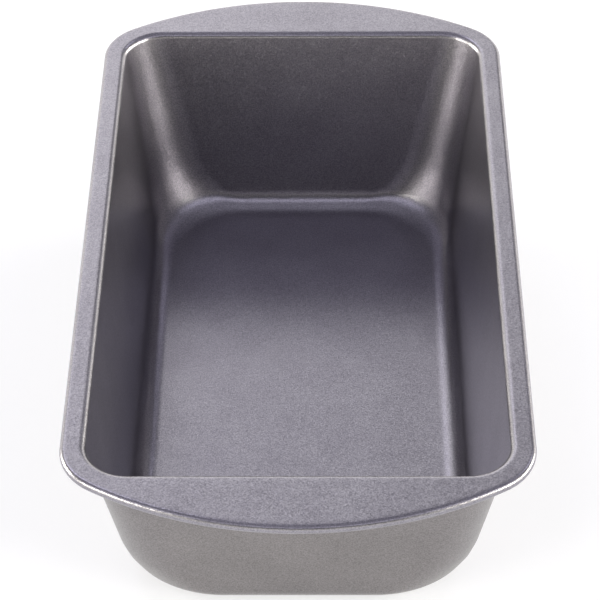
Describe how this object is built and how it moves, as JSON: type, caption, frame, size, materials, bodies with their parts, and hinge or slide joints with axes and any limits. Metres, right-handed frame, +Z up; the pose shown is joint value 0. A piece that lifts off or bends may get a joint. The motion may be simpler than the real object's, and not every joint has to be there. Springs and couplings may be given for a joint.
{
  "type": "loaf pan",
  "caption": "Oblong baking pan with drafted walls, rounded corners, and a flat flange that widens into an arc-shaped grip at each end, its rolled edge stiffened by a wire.",
  "frame": {"origin": "under the middle of the base, on the plane that the pan stands on", "axes": "+Y along the pan's length from grip to grip, +X across it, +Z up through the opening"},
  "size_m": [0.1418, 0.273, 0.0685],
  "materials": {
    "satin_coated_steel": "satin dark grey metallic non-stick coating",
    "zinc_plated_wire": "dull zinc plating"
  },
  "bodies": {
    "root": {"pan_shell": "satin_coated_steel", "rim_wire": "zinc_plated_wire"}
  },
  "joints": []
}
